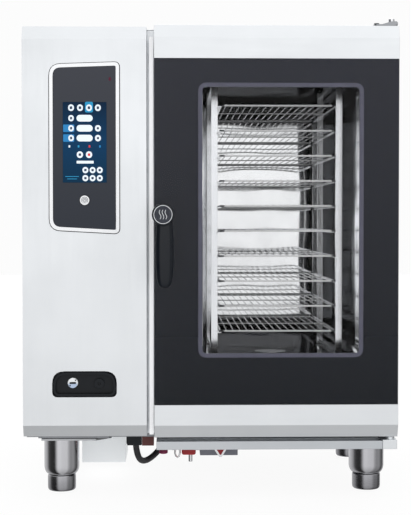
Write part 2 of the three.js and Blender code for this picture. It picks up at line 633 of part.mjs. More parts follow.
function ports() {
  const face = COLUMN.front;
  const sockets = [PORT.usb, PORT.probe];
  add("port_panel", cut(
    join(
      frontPlate(portShape(0), face - 2.2, face - GAP, 6),
      frontPlate(portShape(4), face - 1, face + 12, 6),
    ),
    frontPlate(portShape(6), face - 5, face + 9, 6),
    ...sockets.map(([x, z]) => disc(PORT.radius - 2, face - 5, face + 20, x, z, 24)),
  ), BLACK_PLASTIC);
  const socket = ([x, z]) => turnedBack([
    [0, face + 3], [PORT.radius, face + 3], [PORT.radius, face + 8.7], [PORT.radius - 3, face + 8.7],
    [PORT.radius - 3, face + 22], [0, face + 22],
  ], x, z, 28);
  add("usb_socket", socket(PORT.usb), PALE_PAINT);
  add("probe_socket", cut(
    socket(PORT.probe),
    disc(4, face - 2, face + 6, ...PORT.probe, 16),
  ), BLACK_PLASTIC);
}

// ---- Services under and on top of the cabinet ---------------------------------------------------
function ventPipe() {
  add("vent_pipe", turnedUp([
    [VENT.bore, CHAMBER.high + 4], [22, CHAMBER.high + 4], [22, BODY_TOP + GAP], [44, BODY_TOP + GAP],
    [44, BODY_TOP + 2.5], [24, BODY_TOP + 2.5], [24, VENT.top], [VENT.bore, VENT.top], [VENT.bore, CHAMBER.high + 4],
  ], VENT.x, VENT.y, 24), BRIGHT_STEEL);
}

function underside() {
  add("light_box", openTopBox(-361, -237, 250, 450, 49, 138, 1.5), PALE_PAINT);
  add("connector_block", join(
    block(-229, -194, 92, 150, 129, 151),
    block(-227, -187, 92, 108, 125, 151),
  ), BLACK_PLASTIC);
  add("drain_elbow", join(
    block(-186.4, -154, 92, 132, 124, 151),
    block(-168, -154, 92, 120, 150, 167),
    post(12, 150, 205, -168, 112, 20),
  ), SILICONE);
  add("drain_hose", tube(HOSE.route, HOSE.radius, 4, HOSE.steps), RUBBER);
  const lever = polygon([[10, 98], [50, 98], [34, 70], [27, 70]]);
  add("water_valves", join(
    block(-130, -92, 222, 345, 134, 151),
    block(-106, -92, 222, 262, 87, 151),
    block(-98, -34, 226, 262, 87, 104),
    block(-76, -38, 218, 266, 73, 112),
    block(-136, -96, 231, 241, 80, 90),
    post(9, 71, 86, -131, 236, 14),
    post(6, 52, 90, -54, 236, 14),
    post(6, 63, 90, -91, 236, 14),
    block(-44, 48, 206, 216, 88, 98),
    block(-50, -40, 206, 230, 88, 98),
    frontPlate(lever, 206, 212),
  ), VALVE_RED);
  add("valve_box", openTopBox(-25, 82, 220, 320, 73, 151, 1.5), PALE_PAINT);
}

cabinetPanels();
columnFront();
frontFrame();
baseFrame();
footRails();
feet();
chamber();
airBaffle();
fan();
heatingElement();
racks();
for (let index = 0; index < SHELF.count; index += 1) wireShelf(index);
drain();
doorFrame();
doorGlass();
doorGasket();
doorHandle();
hinges();
dripTray();
controls();
ports();
ventPipe();
underside();

// Centre the oven over its footprint, standing on Z = 0.
const box = new THREE.Box3().setFromObject(oven);
const middle = box.getCenter(new THREE.Vector3());
oven.position.set(-middle.x, -middle.y, -box.min.z);
oven.updateMatrixWorld(true);

export default oven;
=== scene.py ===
"""Looks of the combi steamer oven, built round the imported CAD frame. Metres, +Z up, front faces -Y."""

import math

import bmesh
import bpy
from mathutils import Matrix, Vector


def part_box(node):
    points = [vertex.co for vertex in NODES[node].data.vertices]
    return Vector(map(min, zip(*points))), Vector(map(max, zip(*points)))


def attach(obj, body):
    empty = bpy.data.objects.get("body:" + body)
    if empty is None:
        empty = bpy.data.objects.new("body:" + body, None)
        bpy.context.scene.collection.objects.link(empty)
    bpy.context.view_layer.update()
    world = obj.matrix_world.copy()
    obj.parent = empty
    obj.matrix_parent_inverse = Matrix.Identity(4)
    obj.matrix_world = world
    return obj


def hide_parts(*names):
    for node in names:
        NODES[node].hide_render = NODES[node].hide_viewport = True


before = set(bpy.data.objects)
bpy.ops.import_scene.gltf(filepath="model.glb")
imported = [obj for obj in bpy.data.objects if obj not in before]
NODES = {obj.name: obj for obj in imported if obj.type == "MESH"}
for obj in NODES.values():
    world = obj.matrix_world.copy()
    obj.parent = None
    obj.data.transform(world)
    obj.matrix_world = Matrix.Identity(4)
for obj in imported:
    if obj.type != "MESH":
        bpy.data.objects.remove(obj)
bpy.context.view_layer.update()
MM = 0.001

DOOR_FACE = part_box("door_frame")[0].y
SHELVES = [f"wire_shelf_{i:02d}" for i in range(1, 11)]
FEET = ("front_left", "front_right", "rear_left", "rear_right")


# ---- Camera, floor and light --------------------------------------------------------------------
CAMERA_AWAY = 3.335  # from the lens to the door's face
CAMERA_X, CAMERA_Z = -0.104, 0.733
AIM_X, AIM_Z = -0.0154, 0.6407
LENS, SENSOR = 88.03, 36
BACKDROP = (0.975, 0.975, 0.975, 1)


def look_at(obj, place, target):
    obj.location = place
    obj.rotation_euler = (Vector(target) - Vector(place)).to_track_quat("-Z", "Y").to_euler()


def add_camera():
    data = bpy.data.cameras.new("camera")
    data.lens = LENS
    data.sensor_width = SENSOR
    camera = bpy.data.objects.new("camera", data)
    bpy.context.scene.collection.objects.link(camera)
    look_at(camera, (CAMERA_X, DOOR_FACE - CAMERA_AWAY, CAMERA_Z), (AIM_X, DOOR_FACE, AIM_Z))
    bpy.context.scene.camera = camera


def add_area(name, place, target, size, energy):
    data = bpy.data.lights.new(name, "AREA")
    data.shape = "RECTANGLE"
    data.size, data.size_y = size
    data.energy = energy
    lamp = bpy.data.objects.new(name, data)
    bpy.context.scene.collection.objects.link(lamp)
    look_at(lamp, place, target)
    lamp.visible_camera = False


def add_lights():
    add_area("softbox_top", (0.2, 0.6, 3.4), (0, 0, 0), (2.6, 2.6), 12)


def add_world():
    """A white studio: plain white where the camera looks, and for everything else a room that is
    brightest above, dim towards the floor, and dark at the sides so that turned steel shows streaks."""
    world = bpy.data.worlds.new("studio")
    bpy.context.scene.world = world
    world.use_nodes = True
    tree = world.node_tree
    tree.nodes.clear()
    link = tree.links.new
    coords = tree.nodes.new("ShaderNodeTexCoord")
    split = tree.nodes.new("ShaderNodeSeparateXYZ")
    link(coords.outputs["Generated"], split.inputs[0])
    angle = tree.nodes.new("ShaderNodeMath")
    angle.operation = "ARCTAN2"
    link(split.outputs["X"], angle.inputs[0])
    link(split.outputs["Y"], angle.inputs[1])
    around = grey_ramp(tree, spread(tree, angle.outputs[0], -math.pi, math.pi), AROUND_STOPS)
    upward = grey_ramp(tree, spread(tree, split.outputs["Z"], -1, 1), UPWARD_STOPS)
    sides = spread(tree, split.outputs["Z"], 0.25, 0.8)
    flags = mix_colour(tree, sides, around, (1, 1, 1, 1))
    room = mix_colour(tree, None, flags, upward, "MULTIPLY")
    path = tree.nodes.new("ShaderNodeLightPath")
    seen = mix_colour(tree, path.outputs["Is Camera Ray"], room, BACKDROP)
    back = tree.nodes.new("ShaderNodeBackground")
    link(seen, back.inputs["Color"])
    out = tree.nodes.new("ShaderNodeOutputWorld")
    link(back.outputs[0], out.inputs["Surface"])


# Brightness round the horizon: 0 and 1 lie in front of the oven, 0.5 behind it.
AROUND_STOPS = (
    (0.0, 1.06), (0.06, 1.06), (0.095, 0.45), (0.12, 0.04), (0.20, 0.05), (0.25, 0.12), (0.29, 0.5),
    (0.34, 0.75), (0.42, 0.9), (0.58, 0.9), (0.63, 0.5), (0.67, 0.08), (0.71, 0.2), (0.76, 0.45),
    (0.82, 0.4), (0.86, 0.6), (0.89, 0.95), (0.95, 0.97), (1.0, 1.0),
)
# Brightness from straight down, 0, through the horizon, 0.5, to straight up, 1.
UPWARD_STOPS = ((0.0, 0.46), (0.3, 0.70), (0.42, 0.80), (0.5, 1.03), (0.57, 1.14), (0.7, 1.04), (1.0, 1.0))


def grey_ramp(tree, value, stops):
    ramp = tree.nodes.new("ShaderNodeValToRGB")
    elements = ramp.color_ramp.elements
    for element, (position, grey) in zip((elements[0], elements[1]), (stops[0], stops[-1])):
        element.position = position
        element.color = (grey, grey, grey, 1)
    for position, grey in stops[1:-1]:
        elements.new(position).color = (grey, grey, grey, 1)
    tree.links.new(value, ramp.inputs[0])
    return ramp.outputs["Color"]


def spread(tree, value, start, stop):
    """value, from start to stop, spread from 0 to 1."""
    node = tree.nodes.new("ShaderNodeMapRange")
    node.inputs["From Min"].default_value = start
    node.inputs["From Max"].default_value = stop
    tree.links.new(value, node.inputs["Value"])
    return node.outputs["Result"]


def mix_colour(tree, factor, first, second, mode="MIX"):
    """Mixes two colours, each a socket or a plain value. Without a factor, second acts fully."""
    node = tree.nodes.new("ShaderNodeMix")
    node.data_type = "RGBA"
    node.blend_type = mode
    if factor is None:
        node.inputs["Factor"].default_value = 1
    else:
        tree.links.new(factor, node.inputs["Factor"])
    for name, value in (("A", first), ("B", second)):
        if isinstance(value, tuple):
            node.inputs[name].default_value = value
        else:
            tree.links.new(value, node.inputs[name])
    return node.outputs["Result"]


FLOOR_GLOW = 0.93  # lifts the paper floor towards the white behind it


def add_floor():
    mesh = bpy.data.meshes.new("floor")
    reach = 14
    corners = [(-reach, -reach, 0), (reach, -reach, 0), (reach, reach, 0), (-reach, reach, 0)]
    mesh.from_pydata(corners, [], [(0, 1, 2, 3)])
    floor = bpy.data.objects.new("floor", mesh)
    bpy.context.scene.collection.objects.link(floor)
    material, shader, _ = new_material("floor_paper")
    shader.inputs["Base Color"].default_value = (0.06, 0.06, 0.06, 1)
    shader.inputs["Roughness"].default_value = 0.9
    shader.inputs["Specular IOR Level"].default_value = 0.1
    shader.inputs["Emission Color"].default_value = (1, 1, 1, 1)
    shader.inputs["Emission Strength"].default_value = FLOOR_GLOW
    mesh.materials.append(material)
    floor.visible_glossy = False


# ---- Materials ----------------------------------------------------------------------------------
def new_material(name):
    material = bpy.data.materials.new(name)
    material.use_nodes = True
    shader = material.node_tree.nodes["Principled BSDF"]
    return material, shader, material.node_tree


def coordinates(tree, scale):
    """Places in the row frame, in metres, stretched by scale."""
    coords = tree.nodes.new("ShaderNodeTexCoord")
    mapping = tree.nodes.new("ShaderNodeMapping")
    mapping.inputs["Scale"].default_value = scale
    tree.links.new(coords.outputs["Object"], mapping.inputs["Vector"])
    return mapping.outputs["Vector"]


def noise(tree, scale, size=1.0, detail=3.0, roughness=0.6):
    node = tree.nodes.new("ShaderNodeTexNoise")
    node.inputs["Scale"].default_value = size
    node.inputs["Detail"].default_value = detail
    node.inputs["Roughness"].default_value = roughness
    tree.links.new(coordinates(tree, scale), node.inputs["Vector"])
    return node.outputs["Fac"]


def between(tree, value, low, high, start=0.3, stop=0.7):
    """value, from start to stop, spread from low to high."""
    node = tree.nodes.new("ShaderNodeMapRange")
    node.inputs["From Min"].default_value = start
    node.inputs["From Max"].default_value = stop
    node.inputs["To Min"].default_value = low
    node.inputs["To Max"].default_value = high
    tree.links.new(value, node.inputs["Value"])
    return node.outputs["Result"]


def blend_colours(tree, value, first, second):
    node = tree.nodes.new("ShaderNodeMix")
    node.data_type = "RGBA"
    node.inputs["A"].default_value = (*first, 1)
    node.inputs["B"].default_value = (*second, 1)
    tree.links.new(value, node.inputs["Factor"])
    return node.outputs["Result"]


def bump(tree, shader, height, strength, distance):
    node = tree.nodes.new("ShaderNodeBump")
    node.inputs["Strength"].default_value = strength
    node.inputs["Distance"].default_value = distance
    tree.links.new(height, node.inputs["Height"])
    tree.links.new(node.outputs["Normal"], shader.inputs["Normal"])


def brushed(name, color, darker, rough, grain, strength=0.12, metallic=1, glow=0):
    """Brushed stainless: fine grain along one direction, faint smears and a soft change of tone."""
    material, shader, tree = new_material(name)
    shader.inputs["Metallic"].default_value = metallic
    # glow paints light: an even emission, used to lift a steel part that is no lamp out of its shade
    shader.inputs["Emission Color"].default_value = (1, 1, 1, 1)
    shader.inputs["Emission Strength"].default_value = glow
    smear = noise(tree, (3, 3, 3), 1.0, 4.0)
    fine = noise(tree, grain, 1.0, 2.0)
    tone = blend_colours(tree, between(tree, smear, 0, 1), color, darker)
    tree.links.new(tone, shader.inputs["Base Color"])
    total = tree.nodes.new("ShaderNodeMath")
    total.operation = "ADD"
    tree.links.new(between(tree, fine, rough - 0.05, rough + 0.07), total.inputs[0])
    tree.links.new(between(tree, smear, -0.03, 0.05), total.inputs[1])
    tree.links.new(total.outputs[0], shader.inputs["Roughness"])
    bump(tree, shader, fine, strength, 0.0002)
    return material


def plastic(name, color, lighter, rough, grain=900, strength=0.1, specular=0.5):
    """Moulded plastic or rubber: fine grain and patches of handling wear."""
    material, shader, tree = new_material(name)
    patches = noise(tree, (22, 22, 22), 1.0, 4.0)
    tree.links.new(
        blend_colours(tree, between(tree, patches, 0, 1), color, lighter), shader.inputs["Base Color"]
    )
    tree.links.new(between(tree, patches, rough - 0.06, rough + 0.08), shader.inputs["Roughness"])
    shader.inputs["Specular IOR Level"].default_value = specular
    bump(tree, shader, noise(tree, (grain, grain, grain), 1.0, 1.0), strength, 0.0001)
    return material


def pane(name, tint, mirror):
    """Flat glass that doesn't bend what is behind it: see-through, with a mirror share by angle."""
    material = bpy.data.materials.new(name)
    material.use_nodes = True
    tree = material.node_tree
    tree.nodes.clear()
    clear = tree.nodes.new("ShaderNodeBsdfTransparent")
    clear.inputs["Color"].default_value = (*tint, 1)
    gloss = tree.nodes.new("ShaderNodeBsdfGlossy")
    gloss.inputs["Color"].default_value = (1, 1, 1, 1)
    smears = noise(tree, (5, 5, 2), 1.0, 4.0)
    tree.links.new(between(tree, smears, 0.01, 0.05), gloss.inputs["Roughness"])
    fresnel = tree.nodes.new("ShaderNodeFresnel")
    fresnel.inputs["IOR"].default_value = mirror
    mix = tree.nodes.new("ShaderNodeMixShader")
    tree.links.new(fresnel.outputs[0], mix.inputs[0])
    tree.links.new(clear.outputs[0], mix.inputs[1])
    tree.links.new(gloss.outputs[0], mix.inputs[2])
    out = tree.nodes.new("ShaderNodeOutputMaterial")
    tree.links.new(mix.outputs[0], out.inputs["Surface"])
    return material


def mirror_wall(name, bright, dull, scale, shadow_x=None, shadow_z=None):
    """Polished chamber sheet: slightly wavy and duller in patches; where bright and dull lie far apart, the
    patches are painted reflections.
    With shadow_x it is dark beyond that place, and outside the two heights of shadow_z: painted shade,
    standing in for the dark of the mouth that it mirrors."""
    material, shader, tree = new_material(name)
    shader.inputs["Metallic"].default_value = 1
    haze = noise(tree, scale, 1.0, 4.0)
    shade = blend_colours(tree, between(tree, haze, 0, 1, 0.38, 0.58), bright, dull)
    if shadow_x is not None:
        split = tree.nodes.new("ShaderNodeSeparateXYZ")
        tree.links.new(tree.nodes.new("ShaderNodeTexCoord").outputs["Object"], split.inputs[0])
        side_fade, height_fade = 0.03, 0.02
        # painted shade: beyond shadow_x and outside the heights of shadow_z the sheet's colour is darkened,
        # standing in for the shade and the mirrored dark of the mouth
        beyond = between(tree, split.outputs["X"], 0, 1, shadow_x, shadow_x + side_fade)
        shade = mix_colour(tree, beyond, shade, (0.05, 0.052, 0.056, 1))
        low, high = shadow_z
        for value in (
            between(tree, split.outputs["Z"], 1, 0, low - height_fade, low),
            between(tree, split.outputs["Z"], 0, 1, high, high + height_fade),
        ):
            shade = mix_colour(tree, value, shade, (0.09, 0.092, 0.097, 1))
    tree.links.new(shade, shader.inputs["Base Color"])
    tree.links.new(between(tree, haze, 0.02, 0.07), shader.inputs["Roughness"])
    bump(tree, shader, noise(tree, (5, 5, 4), 1.0, 1.0, 0.4), 0.5, 0.005)
    return material


def height_in(tree, node):
    """How far up a point lies in a CAD node's box, from 0 to 1."""
    low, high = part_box(node)
    coords = tree.nodes.new("ShaderNodeTexCoord")
    split = tree.nodes.new("ShaderNodeSeparateXYZ")
    tree.links.new(coords.outputs["Object"], split.inputs[0])
    return between(tree, split.outputs["Z"], 0, 1, low.z, high.z)


def black_glass(name, node, bottom, top, specular):
    """Dark glass or print over the height of a node, a little greyer towards its top."""
    material, shader, tree = new_material(name)
    tree.links.new(blend_colours(tree, height_in(tree, node), bottom, top), shader.inputs["Base Color"])
    tree.links.new(between(tree, noise(tree, (5, 5, 5)), 0.04, 0.09), shader.inputs["Roughness"])
    shader.inputs["Specular IOR Level"].default_value = specular
    return material


def screen_material(name):
    """The lit display: navy, lighter towards the middle, with its own glow."""
    material, shader, tree = new_material(name)
    ramp = tree.nodes.new("ShaderNodeValToRGB")
    ramp.color_ramp.elements[0].color = (0.0, 0.022, 0.055, 1)
    ramp.color_ramp.elements[1].color = (0.0, 0.012, 0.035, 1)
    ramp.color_ramp.elements.new(0.5).color = (0.0, 0.03, 0.085, 1)
    tree.links.new(height_in(tree, "display_screen"), ramp.inputs[0])
    tree.links.new(ramp.outputs["Color"], shader.inputs["Base Color"])
    tree.links.new(ramp.outputs["Color"], shader.inputs["Emission Color"])
    shader.inputs["Emission Strength"].default_value = 0.4
    shader.inputs["Specular IOR Level"].default_value = 0.12
    tree.links.new(between(tree, noise(tree, (40, 40, 40)), 0.12, 0.2), shader.inputs["Roughness"])
    return material


def glowing(name, color, strength):
    material, shader, tree = new_material(name)
    shade = blend_colours(tree, noise(tree, (300, 300, 300)), color, tuple(0.92 * c for c in color))
    tree.links.new(shade, shader.inputs["Base Color"])
    tree.links.new(shade, shader.inputs["Emission Color"])
    shader.inputs["Emission Strength"].default_value = strength
    shader.inputs["Roughness"].default_value = 0.35
    return material


def make_materials():
    steel, shade = (0.90, 0.925, 0.95), (0.86, 0.885, 0.91)
    return {
        "stainless": brushed("stainless", steel, shade, 0.36, (6, 900, 900)),
        "stainless_upright": brushed("stainless_upright", steel, shade, 0.36, (900, 900, 6)),
        "bright_steel": brushed(
            "bright_steel", (0.90, 0.91, 0.93), (0.80, 0.81, 0.83), 0.16, (500, 500, 9), 0.06,
        ),
        "turned_steel": brushed(
            "turned_steel", (0.70, 0.70, 0.73), (0.61, 0.61, 0.64), 0.14, (9, 9, 1400), 0.06,
        ),
        # wire and the darker wire material below it are lit and shaded copies of one chrome: wire, pale and
        # mostly diffuse, paints the highlight on the shelves' front rods; the darker one paints the shade on
        # the rods behind and at the rim's ends
        "wire": brushed("wire", (0.98, 0.98, 0.98), (0.94, 0.94, 0.95), 0.16, (300, 9, 300), 0.04, 0.3),
        "wire_painted_shade": brushed("wire_painted_shade", (0.50, 0.51, 0.53), (0.38, 0.39, 0.41), 0.2, (300, 9, 300), 0.04),
        # painted light: this is a paler, mostly diffuse and faintly glowing copy of the stainless, for the
        # lit frame edge seen in the gap beside the door
        "strip_painted_light": brushed(
            "strip_painted_light", (0.97, 0.98, 1.0), (0.93, 0.94, 0.96), 0.25, (900, 900, 6), 0.05, 0.15, 0.07,
        ),
        "tray": brushed("tray", (0.66, 0.685, 0.715), (0.60, 0.625, 0.655), 0.34, (6, 900, 900)),
        "hinge_steel": brushed("hinge_steel", (0.40, 0.41, 0.43), (0.30, 0.31, 0.33), 0.3, (6, 900, 900)),
        "frame_grey": brushed("frame_grey", (0.36, 0.37, 0.39), (0.28, 0.29, 0.31), 0.42, (5, 300, 300)),
        "foot_steel": brushed("foot_steel", (0.43, 0.43, 0.45), (0.32, 0.32, 0.34), 0.2, (9, 9, 1400), 0.08),
        # painted reflections: the side walls' and baffle's patches run from near white to near black,
        # standing in for the glints and dark that the polished sheet mirrors
        "chamber_side_painted_reflections": mirror_wall("chamber_side_painted_reflections", (0.97, 0.975, 0.98), (0.08, 0.082, 0.086), (7, 5, 3.2)),
        # painted shade: the rear wall goes dark beyond x 0.352 and outside the heights 0.42 to 1.09, where it
        # mirrors the dark of the mouth
        "chamber": mirror_wall(
            "chamber", (0.93, 0.935, 0.94), (0.86, 0.865, 0.87), (6, 6, 6), 0.352, (0.42, 1.09),
        ),
        # painted shade: the roof and the floor are darker copies of the chamber sheet, for the dark that they
        # mirror
        "chamber_roof_painted_shade": mirror_wall("chamber_roof_painted_shade", (0.16, 0.162, 0.168), (0.08, 0.082, 0.086), (5, 5, 5)),
        "chamber_floor_painted_shade": mirror_wall("chamber_floor_painted_shade", (0.26, 0.262, 0.27), (0.10, 0.102, 0.108), (9, 1.2, 5)),
        "dark_steel": brushed("dark_steel", (0.10, 0.105, 0.12), (0.06, 0.065, 0.075), 0.4, (5, 300, 300)),
        "liner": brushed("liner", (0.30, 0.295, 0.29), (0.22, 0.215, 0.21), 0.3, (6, 500, 500)),
        "rail": brushed("rail", (0.58, 0.59, 0.61), (0.48, 0.49, 0.51), 0.4, (5, 300, 300)),
        "chrome": brushed("chrome", (0.86, 0.87, 0.89), (0.78, 0.79, 0.81), 0.12, (700, 700, 700), 0.03),
        "print": black_glass(
            "print", "door_glass_print", (0.0005, 0.0025, 0.0065), (0.018, 0.020, 0.031), 0.26,
        ),
        "control_glass": black_glass(
            "control_glass", "control_glass", (0.010, 0.015, 0.027), (0.030, 0.034, 0.048), 0.38,
        ),
        "handle": plastic("handle", (0.002, 0.004, 0.008), (0.006, 0.008, 0.012), 0.3, 1500, 0.12, 0.34),
        "port": plastic("port", (0.002, 0.003, 0.005), (0.005, 0.007, 0.010), 0.38, 1300, 0.2, 0.28),
        "rubber": plastic("rubber", (0.018, 0.018, 0.02), (0.035, 0.035, 0.038), 0.62, 700, 0.25, 0.3),
        "silicone": plastic("silicone", (0.085, 0.018, 0.015), (0.13, 0.03, 0.026), 0.5, 500, 0.15),
        "valve_red": plastic("valve_red", (0.30, 0.012, 0.016), (0.38, 0.025, 0.03), 0.4, 500, 0.1, 0.35),
        "valve_plum": plastic("valve_plum", (0.16, 0.012, 0.05), (0.22, 0.02, 0.07), 0.4, 500, 0.1, 0.35),
        "grey_paint": plastic("grey_paint", (0.17, 0.175, 0.21), (0.2, 0.205, 0.24), 0.42, 800, 0.08, 0.3),
        "rim": plastic("rim", (0.085, 0.085, 0.125), (0.11, 0.11, 0.16), 0.35, 800, 0.05),
        "pale": plastic("pale", (0.88, 0.91, 0.93), (0.92, 0.94, 0.96), 0.42, 800, 0.08),
        # painted light: the light box is white plastic, given a faint glow to lift it out of the shade under
        # the oven
        "white_painted_glow": glowing("white_painted_glow", (0.88, 0.91, 0.93), 0.2),
        "emblem": plastic("emblem", (0.011, 0.014, 0.026), (0.018, 0.022, 0.036), 0.28, 1500, 0.05),
        "mark": plastic("mark", (0.74, 0.76, 0.79), (0.80, 0.82, 0.85), 0.35, 1500, 0.05),
        "outer_pane": pane("outer_pane", (0.985, 0.987, 0.99), 1.1),
        "inner_pane": pane("inner_pane", (0.99, 0.99, 0.99), 1.1),
        "screen": screen_material("screen"),
        "icon_white": glowing("icon_white", (0.75, 0.82, 0.88), 0.35),
        "icon_blue": glowing("icon_blue", (0.0, 0.17, 0.42), 0.4),
        "icon_cyan": glowing("icon_cyan", (0.0, 0.24, 0.46), 0.4),
        "icon_red": glowing("icon_red", (0.6, 0.02, 0.03), 0.4),
        "lamp_red": plastic("lamp_red", (0.09, 0.008, 0.03), (0.12, 0.012, 0.04), 0.3, 900, 0.02, 0.2),
        "icon_dark": glowing("icon_dark", (0.01, 0.03, 0.08), 0.1),
        "usb_blue": plastic("usb_blue", (0.45, 0.56, 0.74), (0.5, 0.6, 0.78), 0.4),
    }


# ---- Mesh helpers -------------------------------------------------------------------------------
def finish_mesh(name, bm, material, body, smooth_angle=35):
    """A new piece from bm that rides on a body."""
    bmesh.ops.recalc_face_normals(bm, faces=bm.faces)
    limit = math.radians(smooth_angle)
    for face in bm.faces:
        face.smooth = True
    for edge in bm.edges:
        edge.smooth = not edge.is_manifold or edge.calc_face_angle(0) < limit
    mesh = bpy.data.meshes.new(name)
    bm.to_mesh(mesh)
    bm.free()
    mesh.materials.append(MATERIALS[material])
    piece = bpy.data.objects.new(name, mesh)
    bpy.context.scene.collection.objects.link(piece)
    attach(piece, body)
    return piece


def ring_of(bm, points):
    return [bm.verts.new(p) for p in points]


def bridge(bm, first, second):
    count = len(first)
    for i in range(count):
        j = (i + 1) % count
        bm.faces.new((first[i], first[j], second[j], second[i]))


def loft(bm, rings, cap=True):
    """Skins rings of points, each a list of the same length."""
    made = [ring_of(bm, ring) for ring in rings]
    for first, second in zip(made, made[1:]):
        bridge(bm, first, second)
    if cap:
        bm.faces.new(list(reversed(made[0])))
        bm.faces.new(made[-1])
    return made


def circle(centre, radius, axis, segments):
    """Points of a circle about axis X, Y or Z."""
    points = []
    for i in range(segments):
        a = 2 * math.pi * i / segments
        u, v = radius * math.cos(a), radius * math.sin(a)
        offset = {"X": (0, u, v), "Y": (u, 0, v), "Z": (u, v, 0)}[axis]
        points.append(Vector(centre) + Vector(offset))
    return points


def turn(bm, profile, centre, axis, segments=48, closed=False):
    """A turned piece: profile is a list of (radius, distance along axis). closed joins its ends to a ring."""
    direction = {"X": Vector((1, 0, 0)), "Y": Vector((0, 1, 0)), "Z": Vector((0, 0, 1))}[axis]
    rings = [circle(Vector(centre) + direction * d, r, axis, segments) for r, d in profile]
    made = loft(bm, rings, cap=not closed)
    if closed:
        bridge(bm, made[-1], made[0])


def rod(bm, start, end, radius, sides=8):
    start, end = Vector(start), Vector(end)
    along = (end - start).normalized()
    side = along.orthogonal().normalized()
    other = along.cross(side)
    turn_step = 2 * math.pi / sides
    spokes = [side * math.cos(i * turn_step) + other * math.sin(i * turn_step) for i in range(sides)]
    loft(bm, [[p + s * radius for s in spokes] for p in (start, end)])


def path_tube(bm, points, radius, sides=8, closed=False):
    """A tube through points, its sections turned with the path."""
    points = [Vector(p) for p in points]
    count = len(points)
    rings = []
    side = None
    for i, p in enumerate(points):
        before = points[(i - 1) % count] if closed or i else p
        after = points[(i + 1) % count] if closed or i < count - 1 else p
        along = (after - before).normalized()
        side = (along.orthogonal() if side is None else side - along * side.dot(along)).normalized()
        other = along.cross(side)
        step = 2 * math.pi / sides
        spokes = [side * math.cos(k * step) + other * math.sin(k * step) for k in range(sides)]
        rings.append([p + s * radius for s in spokes])
    made = loft(bm, rings, cap=not closed)
    if closed:
        bridge(bm, made[-1], made[0])


def box_in(bm, low, high, bevel=0.0, segments=2):
    """A block between two corners with rounded edges."""
    low, high = Vector(low), Vector(high)
    made = bmesh.ops.create_cube(bm, size=1)
    size, middle = high - low, (low + high) / 2
    for v in made["verts"]:
        v.co = Vector((v.co.x * size.x, v.co.y * size.y, v.co.z * size.z)) + middle
    if bevel:
        edges = {e for v in made["verts"] for e in v.link_edges}
        bmesh.ops.bevel(bm, geom=list(edges), offset=bevel, segments=segments, affect="EDGES", profile=0.5)


def flat_piece(bm, outline, y0, y1, bevel=0.0):
    """An outline of (x, z) points between two depths, its front edge eased by bevel."""
    count = len(outline)
    cx = sum(p[0] for p in outline) / count
    cz = sum(p[1] for p in outline) / count
    rings = []
    if bevel:
        reach = max(math.hypot(x - cx, z - cz) for x, z in outline)
        k = 1 - bevel / reach
        rings.append([(cx + (x - cx) * k, y0, cz + (z - cz) * k) for x, z in outline])
        rings.append([(x, y0 + bevel, z) for x, z in outline])
    else:
        rings.append([(x, y0, z) for x, z in outline])
    rings.append([(x, y1, z) for x, z in outline])
    loft(bm, rings)


def rounded_outline(cx, cz, width, height, radius, steps=6):
    points = []
    corners = ((1, 1, 0), (-1, 1, 90), (-1, -1, 180), (1, -1, 270))
    for sx, sz, start in corners:
        ox, oz = cx + sx * (width / 2 - radius), cz + sz * (height / 2 - radius)
        for i in range(steps + 1):
            a = math.radians(start + 90 * i / steps)
            points.append((ox + radius * math.cos(a), oz + radius * math.sin(a)))
    return points


def soften(node, material, width=0.0006, segments=2, angle=35):
    """Gives a CAD node its material, eased edges and smooth round faces."""
    obj = NODES[node]
    obj.data.materials.clear()
    obj.data.materials.append(MATERIALS[material])
    if "custom_normal" in obj.data.attributes:
        obj.data.attributes.remove(obj.data.attributes["custom_normal"])
    for polygon in obj.data.polygons:
        polygon.use_smooth = True
    weld = obj.modifiers.new("weld", "WELD")
    weld.merge_threshold = 0.00002
    ease = obj.modifiers.new("ease", "BEVEL")
    ease.width = width
    ease.segments = segments
    ease.limit_method = "ANGLE"
    ease.angle_limit = math.radians(angle)
    ease.harden_normals = True
    return obj


def facet(obj):
    """Shades rings and sheet flat, since long slivers of triangles smear a smooth shade."""
    for face in obj.data.polygons:
        face.use_smooth = False


# ---- Cabinet ------------------------------------------------------------------------------------
def paint_faces(obj, material, chosen):
    """Gives the faces that chosen picks a second material."""
    obj.data.materials.append(MATERIALS[material])
    for face in obj.data.polygons:
        if chosen(face):
            face.material_index = len(obj.data.materials) - 1


SHEET_ANGLE = 12  # degrees; folds of sheet are sharper than this and get an eased edge


def dress_cabinet():
    for node in ("column_front", "left_panel", "right_panel", "rear_panel"):
        facet(soften(node, "stainless_upright", 0.0014, 3, SHEET_ANGLE))
    facet(soften("top_panel", "stainless", 0.0014, 3, SHEET_ANGLE))
    soften("drip_tray", "tray", angle=SHEET_ANGLE)
    soften("upper_hinge", "hinge_steel", angle=SHEET_ANGLE)
    soften("door_liner", "liner", angle=SHEET_ANGLE)
    frame_plate = soften("front_frame", "stainless", angle=SHEET_ANGLE)
    # painted light: the frame's front-facing faces near the door get the paler, faintly glowing strip
    # material for the lit edge seen through the gap
    plate_front = DOOR_FACE + 0.05
    paint_faces(frame_plate, "strip_painted_light", lambda face: face.center.y < plate_front and face.normal.y < -0.9)
    frame_beams = soften("base_frame", "frame_grey")
    apron_top, apron_ends = 0.1532, (-0.15, 0.37)  # painted shade: the low apron faces here get dark steel for the shadowed gap over the drip channel
    paint_faces(frame_beams, "dark_steel", lambda face: (
        face.center.z < apron_top and apron_ends[0] < face.center.x < apron_ends[1]
    ))
    soften("lower_hinge", "stainless", 0.0012)
    soften("upper_hinge_pin", "chrome")
    soften("vent_pipe", "bright_steel")


